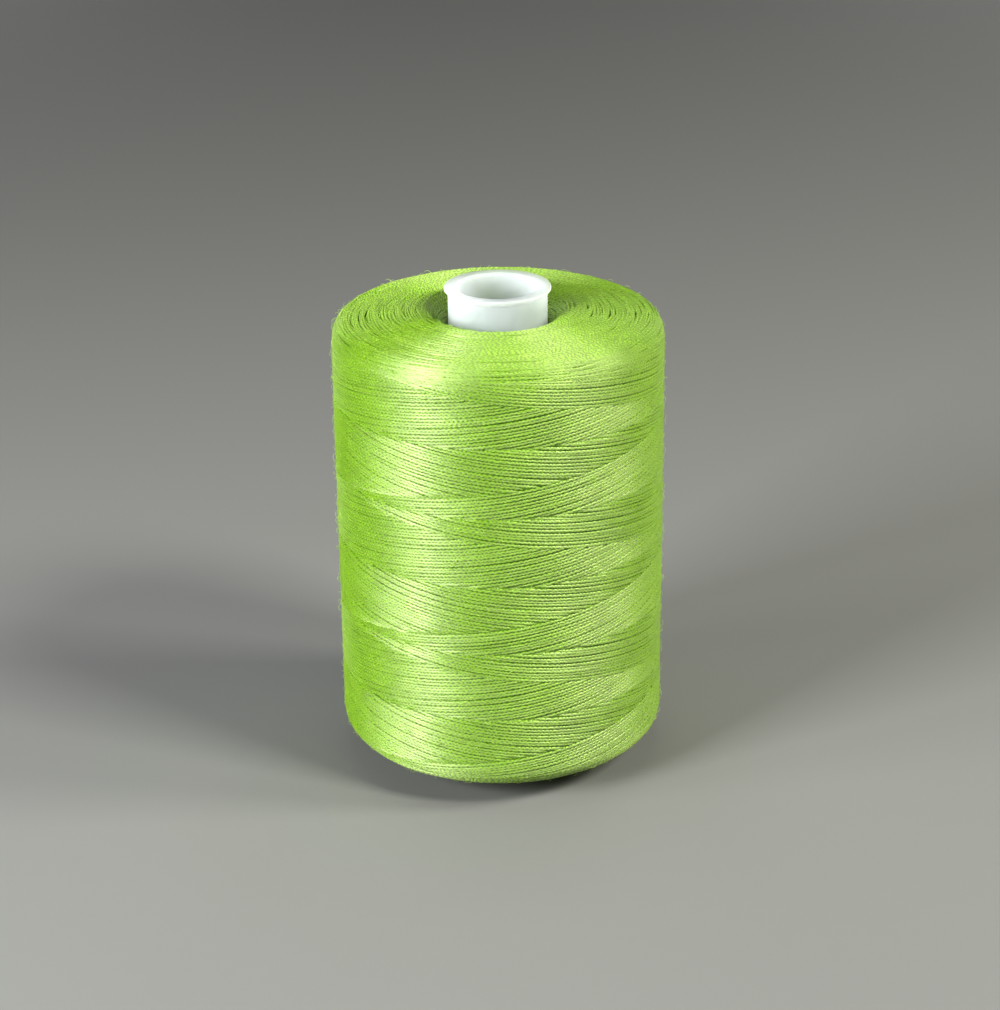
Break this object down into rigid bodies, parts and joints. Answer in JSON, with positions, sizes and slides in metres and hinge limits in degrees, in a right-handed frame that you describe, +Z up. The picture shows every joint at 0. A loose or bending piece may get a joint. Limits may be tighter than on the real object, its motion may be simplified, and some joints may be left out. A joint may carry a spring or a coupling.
{
  "type": "spool of sewing thread",
  "caption": "Straight hollow plastic tube with a small lip at each rim, carrying a cross-wound package of sewing thread with rounded shoulders and bare tube ends.",
  "frame": {"origin": "centre of the tube's lower end, on the surface that the spool stands on", "axes": "+Z up along the tube's axis"},
  "size_m": [0.0364, 0.0364, 0.055],
  "materials": {
    "tube_plastic": "translucent milky white moulded plastic, satin",
    "thread": "lime-green spun polyester sewing thread, soft sheen along the strands"
  },
  "bodies": {
    "root": {"spool_tube": "tube_plastic", "winding_inner": "thread", "winding_middle": "thread", "winding_outer": "thread"}
  },
  "joints": []
}
